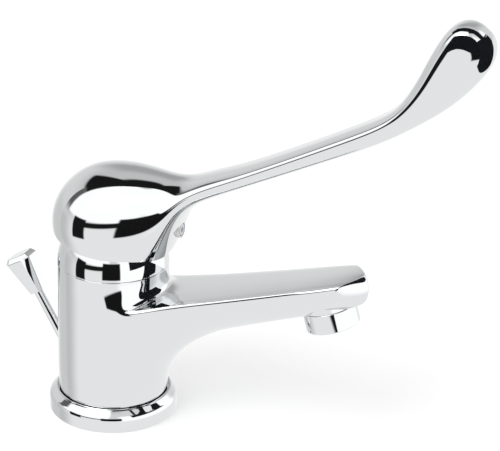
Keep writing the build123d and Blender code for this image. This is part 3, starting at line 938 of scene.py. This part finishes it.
cover_profile = []
seam_rise = seam_height - cover_middle
start = atan2(seam_rise, sqrt(cover_radius ** 2 - seam_rise ** 2))
end = pi / 2 - cover_opening
for step in range(cover_steps + 1):
    angle = start + (end - start) * step / cover_steps
    cover_profile.append((cover_radius * cos(angle), cover_middle + cover_radius * sin(angle)))
inner = cover_radius - cover_wall
inner_start = atan2(skirt_rise, skirt_bore)
for step in range(cover_steps + 1):
    angle = end + (inner_start - end) * step / cover_steps
    cover_profile.append((inner * cos(angle), cover_middle + inner * sin(angle)))
cover_profile.append((skirt_bore, seam_height))
cover = add_piece(
    "cover_ring_chrome",
    turned(cover_profile, cover_rounding),
    body_chrome,
    "tap_body",
    ["cover_ring"],
)
even_shading(cover)

# Lever
# A hollow zinc die casting, polished and chromed: the domed head that covers the cartridge,
# the arm that rises from it, and the upturned flat sided paddle for the elbow.

# plated die casting: the same mirror with a slightly longer ripple
handle_chrome = polished_chrome("polished_chrome_on_zinc", chrome_grey, 7.0)
# each section: x and z of its top, x and z of its underside, half the width, squareness
lever_sections = (
    (-25.2, 94.9, -25.2, 80.1, 7.4, 2.0),
    (-22.6, 100.9, -22.6, 74.1, 13.4, 2.0),
    (-17.4, 107.2, -17.4, 67.8, 19.7, 2.0),
    (-9.5, 112.2, -9.5, 63.0, 24.5, 2.0),
    (0.0, 114.1, 0.0, 61.2, 26.0, 2.0),
    (8.9, 114.5, 8.9, 62.5, 25.1, 2.0),
    (17.9, 113.7, 17.9, 66.5, 22.4, 2.0),
    (25.0, 112.9, 24.5, 73.0, 18.7, 2.0),
    (30.5, 112.9, 29.0, 84.2, 16.0, 2.0),
    (36.0, 113.5, 34.4, 99.6, 13.4, 2.1),
    (42.9, 116.3, 43.3, 106.1, 11.4, 2.4),
    (52.0, 119.8, 53.6, 111.2, 10.2, 2.6),
    (64.0, 125.1, 66.6, 117.6, 9.5, 2.8),
    (84.1, 135.3, 87.5, 127.9, 9.1, 3.0),
    (103.6, 145.8, 107.7, 137.8, 9.1, 3.0),
    (114.1, 151.7, 118.4, 143.6, 9.3, 3.0),
    (121.0, 156.8, 125.8, 148.2, 9.5, 2.9),
    (125.6, 162.7, 132.9, 153.1, 9.7, 3.0),
    (130.2, 171.4, 141.6, 159.6, 10.0, 3.0),
    (133.4, 179.3, 148.3, 165.9, 10.0, 3.0),
    (137.1, 187.2, 154.0, 172.6, 9.8, 3.0),
    (141.7, 194.6, 159.3, 180.4, 9.6, 3.0),
    (147.3, 196.5, 159.6, 186.7, 8.0, 3.0),
    (152.1, 195.6, 158.0, 191.0, 4.6, 3.0),
)
lever_rear = (-26.3, 87.5)
lever_tip = (155.3, 193.7)
section_points = 32


def softened(value, squareness):
    """Signed root that squares a circle off."""
    return (1 if value > 0 else -1) * abs(value) ** (2 / squareness)


bm = bmesh.new()
loops = []
for top_x, top_z, low_x, low_z, half_width, squareness in lever_sections:
    loop = bmesh.ops.create_circle(bm, segments=section_points, radius=1)["verts"]
    for vert in loop:
        across = softened(vert.co.x, squareness)
        upward = softened(vert.co.y, squareness)
        vert.co = (
            (top_x + low_x) / 2 + (top_x - low_x) / 2 * upward,
            half_width * across,
            (top_z + low_z) / 2 + (top_z - low_z) / 2 * upward,
        )
    loops.append(loop)
for first, second in zip(loops, loops[1:]):
    ends = [
        edge for edge in bm.edges
        if all(vert in first for vert in edge.verts) or all(vert in second for vert in edge.verts)
    ]
    bmesh.ops.bridge_loops(bm, edges=ends)
for loop, (x, z) in ((loops[0], lever_rear), (loops[-1], lever_tip)):
    ends = [edge for edge in bm.edges if edge.is_boundary and edge.verts[0] in loop]
    drawn = bmesh.ops.extrude_edge_only(bm, edges=ends)["geom"]
    drawn = [item for item in drawn if isinstance(item, bmesh.types.BMVert)]
    bmesh.ops.pointmerge(bm, verts=drawn, merge_co=(x, 0, z))
lever = add_piece(
    "lever_handle_chrome", bm, handle_chrome, "lever", ["lever_handle"], crisp=pi
)
rounding = lever.modifiers.new("rounding", "SUBSURF")
rounding.levels = 2
rounding.render_levels = 2

# the head's open underside: below its curved rim, and the hollow over the cover
rim_line = (
    (-40.0, 88.0),
    (-28.0, 85.6),
    (-16.0, 82.8),
    (-5.0, 80.7),
    (5.0, 79.7),
    (15.0, 79.6),
    (21.0, 79.2),
    (26.0, 77.6),
    (33.0, 76.3),
    (40.0, 75.9),
)
cutter_reach = 40.0
cutter_foot = 40.0
# each hollow: its name, radius, rise and the height of its middle
hollows = (
    ("over_cover", 24.7, 24.7, 68.4),
    ("head_hollow", 23.0, 24.3, 86.0),
)
hollow_columns = 96
hollow_rows = 48

bm = bmesh.new()
outline = [bm.verts.new((x, -cutter_reach, z)) for x, z in rim_line]
outline.append(bm.verts.new((cutter_reach, -cutter_reach, cutter_foot)))
outline.append(bm.verts.new((-cutter_reach, -cutter_reach, cutter_foot)))
sheet = bm.faces.new(outline)
drawn = bmesh.ops.extrude_face_region(bm, geom=[sheet])["geom"]
drawn = [item for item in drawn if isinstance(item, bmesh.types.BMVert)]
bmesh.ops.translate(bm, vec=(0, 2 * cutter_reach, 0), verts=drawn)
cut_away(lever, add_cutter("below_rim", bm))
for name, radius, rise, middle in hollows:
    bm = bmesh.new()
    bmesh.ops.create_uvsphere(bm, u_segments=hollow_columns, v_segments=hollow_rows, radius=radius)
    bmesh.ops.scale(bm, vec=(1, 1, rise / radius), verts=bm.verts)
    bmesh.ops.translate(bm, vec=(0, 0, middle), verts=bm.verts)
    cut_away(lever, add_cutter(name, bm))
settle(lever)

# the boss inside the head, as cast, with the stem's square socket and the screw's hole
boss_radius = 7.8
boss_foot = 82.0
boss_top = 111.5
socket_size = (7.15, 8.15)
socket_top = 96.5
screw_height = 89.0
screw_radius = 2.55
# corner of the profile: its radius
boss_rounding = {1: 0.4}
# zinc as it comes out of the die: dull blue grey
cast_zinc = plain_finish("cast_zinc", "#8f9294", 0.45, 0.4, 0.02, metallic=1.0)
boss_profile = [
    (0.0, boss_foot),
    (boss_radius, boss_foot),
    (boss_radius, boss_top),
    (0.0, boss_top),
]
boss = add_piece(
    "lever_boss_zinc",
    turned(boss_profile, boss_rounding, steps=64, closed=False),
    cast_zinc,
    "lever",
    [],
)
bm = bmesh.new()
bmesh.ops.create_cube(bm, size=1)
bmesh.ops.scale(bm, vec=(*socket_size, 2 * (socket_top - boss_foot)), verts=bm.verts)
bmesh.ops.translate(bm, vec=(0, 0, boss_foot), verts=bm.verts)
cut_away(boss, add_cutter("stem_socket", bm))
screw_place = Matrix.Translation((0, 0, screw_height)) @ Matrix.Rotation(pi / 2, 4, "Y")
bm = drill(screw_radius, 2 * boss_radius)
bmesh.ops.transform(bm, matrix=screw_place, verts=bm.verts)
cut_away(boss, add_cutter("screw_hole", bm))
settle(boss)

# Index plug and grub screw
# The socket screw that clamps the stem, under a pressed light plug whose two printed halves
# carry a red and a blue spot within a dark ring.

# moulded ABS: near white, smooth and glossy
index_grey = plain_finish("moulded_light_abs", "#f1f2f2", 0.2, 0.6, 0.005, spread=0.04)
enamel_white = "#eceded"
enamel_roughness = 0.2
ring_ink = "#26282b"
index_place = (0.0, 0.0, -screw_height * millimetre)
spot_radius = 0.0013
ring_inner = 0.0024
ring_outer = 0.0028
ink_blur = 0.0001


def index_print(name, spot):
    """White enamel with a spot of ink in the middle and a dark ring round it."""
    material = bpy.data.materials.new(name)
    tree = new_tree(material)
    place = add_node(tree, "ShaderNodeTexCoord")
    flat = add_node(
        tree,
        "ShaderNodeVectorMath",
        {"operation": "MULTIPLY_ADD"},
        {0: place.outputs["Object"], 1: (0.0, 1.0, 1.0), 2: index_place},
    )
    away = add_node(
        tree, "ShaderNodeVectorMath", {"operation": "LENGTH"}, {0: flat.outputs[0]}
    ).outputs["Value"]
    inside = edge_mask(tree, away, spot_radius + ink_blur, spot_radius - ink_blur)
    ring = band_mask(tree, away, ring_inner, ring_outer, ink_blur)
    tone = add_node(
        tree,
        "ShaderNodeMix",
        {"data_type": "RGBA"},
        {0: inside, 6: linear(enamel_white), 7: linear(spot)},
    )
    tone = add_node(
        tree,
        "ShaderNodeMix",
        {"data_type": "RGBA"},
        {0: ring, 6: tone.outputs[2], 7: linear(ring_ink)},
    )
    enamel = add_node(
        tree,
        "ShaderNodeBsdfPrincipled",
        inputs={"Base Color": tone.outputs[2], "Roughness": enamel_roughness},
    )
    add_node(tree, "ShaderNodeOutputMaterial", inputs={"Surface": enamel.outputs[0]})
    return material


index_red = index_print("enamel_printed_red", "#cf2a35")
index_blue = index_print("enamel_printed_blue", "#2a4a94")
finish_node("grub_screw", steel)
finish_node("indicator_plug", index_grey)
finish_node("hot_mark", index_red)
finish_node("cold_mark", index_blue)

# Pop-up waste rod
# A chromed brass rod that slides in a bush in the back of the body, with a cast knob whose
# four faces taper to the rod, its edges cut back.

rod_radius = 2.1
rod_foot = -11.8
rod_top = 31.9
# corner of the profile: its radius
rod_rounding = {1: 0.3, 2: 0.2}
rod_profile = [(0.0, rod_foot), (rod_radius, rod_foot), (rod_radius, rod_top), (0.0, rod_top)]
rod = add_piece(
    "lift_rod_chrome",
    turned(rod_profile, rod_rounding, steps=48, closed=False),
    body_chrome,
    "waste_rod",
    ["lift_rod"],
    placed=rod_place,
)
even_shading(rod)

knob_foot = 24.0
knob_shoulder = 40.4
knob_head = 42.4
knob_width = 12.8
knob_waist = 6.8
knob_corner_percent = 22
knob_inset = 1.7
knob_edge = 0.25
knob_edge_steps = 2
height_slack = 0.1

bm = bmesh.new()
bmesh.ops.create_cube(bm, size=1)
for vert in bm.verts:
    width = knob_width if vert.co.z > 0 else knob_waist
    height = knob_shoulder if vert.co.z > 0 else knob_foot
    vert.co = (width * vert.co.x, width * vert.co.y, height)
uprights = [
    edge for edge in bm.edges if abs(edge.verts[0].co.z - edge.verts[1].co.z) > height_slack
]
bmesh.ops.bevel(
    bm,
    geom=uprights,
    offset=knob_corner_percent,
    offset_type="PERCENT",
    affect="EDGES",
    segments=1,
    profile=0.5,
    material=-1,
)
top = [
    face for face in bm.faces
    if all(vert.co.z > knob_shoulder - height_slack for vert in face.verts)
]
bmesh.ops.inset_region(bm, faces=top, thickness=knob_inset, depth=0)
top_verts = list({vert for face in top for vert in face.verts})
bmesh.ops.translate(bm, vec=(0, 0, knob_head - knob_shoulder), verts=top_verts)
bmesh.ops.bevel(
    bm,
    geom=bm.edges[:],
    offset=knob_edge,
    offset_type="OFFSET",
    affect="EDGES",
    segments=knob_edge_steps,
    profile=0.5,
    material=-1,
    clamp_overlap=True,
)
knob = add_piece(
    "lift_knob_chrome",
    bm,
    handle_chrome,
    "waste_rod",
    ["lift_knob"],
    placed=rod_place,
    crisp=radians(60),
)
even_shading(knob)
finish_node("rod_guide_bush", acetal)

# Lamp
# One broad soft light over the near side, plain white. It stands in for the studio's own
# lamp and gives the tap its soft shadow on the floor.

lamp_place = Vector((-0.5, -1.2, 1.6))
lamp_aim = Vector((0.03, 0, 0.08))
lamp_size = 1.2
lamp_power = 12.0

lamp_data = bpy.data.lights.new("key_light", "AREA")
lamp_data.size = lamp_size
lamp_data.energy = lamp_power
lamp = bpy.data.objects.new("key_light", lamp_data)
lamp.location = lamp_place
lamp.rotation_euler = (lamp_aim - lamp_place).to_track_quat("-Z", "Y").to_euler()
bpy.context.collection.objects.link(lamp)
